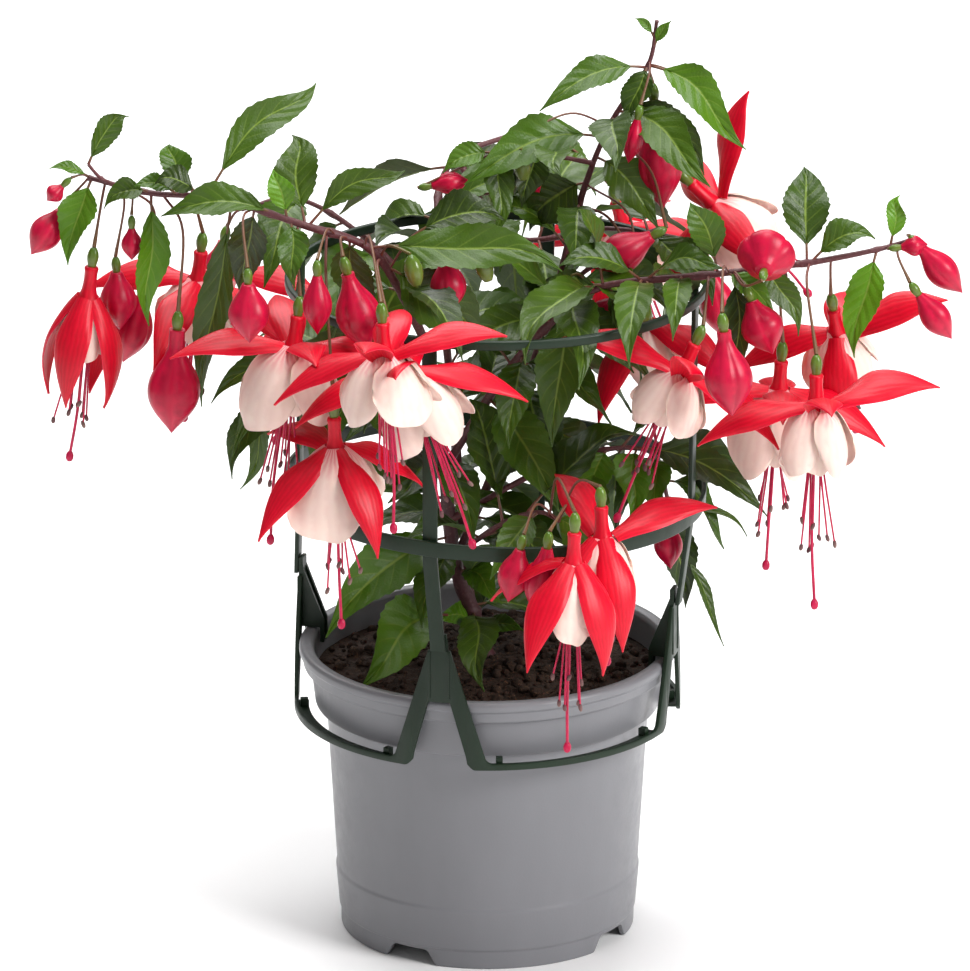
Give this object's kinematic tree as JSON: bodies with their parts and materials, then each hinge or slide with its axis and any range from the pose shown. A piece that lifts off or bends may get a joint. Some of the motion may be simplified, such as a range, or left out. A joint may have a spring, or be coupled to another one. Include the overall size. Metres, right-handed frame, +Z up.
{
  "type": "potted fuchsia with clip-on plant support",
  "caption": "Flowering fuchsia in a round grower pot, its arching stems, leaves and hanging flowers held by a clip-on cage of posts and rings.",
  "frame": {"origin": "bottom centre of the whole object's box, on the surface that the pot's foot stands on", "axes": "+Z up along the pot's axis, -Y towards the front of the plant, +X to its right"},
  "size_m": [0.372, 0.3166, 0.3731],
  "materials": {
    "pot_plastic": "mid-grey moulded polypropylene, satin",
    "support_plastic": "dark green moulded polypropylene, satin",
    "soil": "moist dark peat compost with bark fibres",
    "stem": "purple-brown young bark",
    "leaf": "mid-green leaf, satin above and dull below",
    "petal": "red sepals and tube with a waxy sheen, cream-white corolla"
  },
  "bodies": {
    "root": {"back_branch": "stem", "bud_01": "petal", "bud_02": "petal", "bud_03": "petal", "bud_04": "petal", "bud_05": "petal", "bud_06": "petal", "bud_07": "petal", "bud_08": "petal", "bud_09": "petal", "flower_01": "petal", "flower_02": "petal", "flower_03": "petal", "flower_04": "petal", "flower_05": "petal", "flower_06": "petal", "flower_07": "petal", "flower_08": "petal", "flower_09": "petal", "flower_10": "petal", "flower_11": "petal", "flower_12": "petal", "flower_13": "petal", "flower_14": "petal", "inner_twig": "stem", "leaf_01": "leaf", "leaf_02": "leaf", "leaf_03": "leaf", "leaf_04": "leaf", "leaf_05": "leaf", "leaf_06": "leaf", "leaf_07": "leaf", "leaf_08": "leaf", "leaf_09": "leaf", "leaf_10": "leaf", "leaf_11": "leaf", "leaf_12": "leaf", "leaf_13": "leaf", "leaf_14": "leaf", "leaf_15": "leaf", "leaf_16": "leaf", "leaf_17": "leaf", "leaf_18": "leaf", "leaf_19": "leaf", "leaf_20": "leaf", "leaf_21": "leaf", "left_branch": "stem", "low_twig": "stem", "pot": "pot_plastic", "right_branch": "stem", "soil": "soil", "support_clip": "support_plastic", "support_post_back": "support_plastic", "support_post_front": "support_plastic", "support_post_left": "support_plastic", "support_post_right": "support_plastic", "support_ring_middle": "support_plastic", "support_ring_top": "support_plastic", "trunk": "stem", "upright_shoot": "stem"}
  },
  "joints": []
}
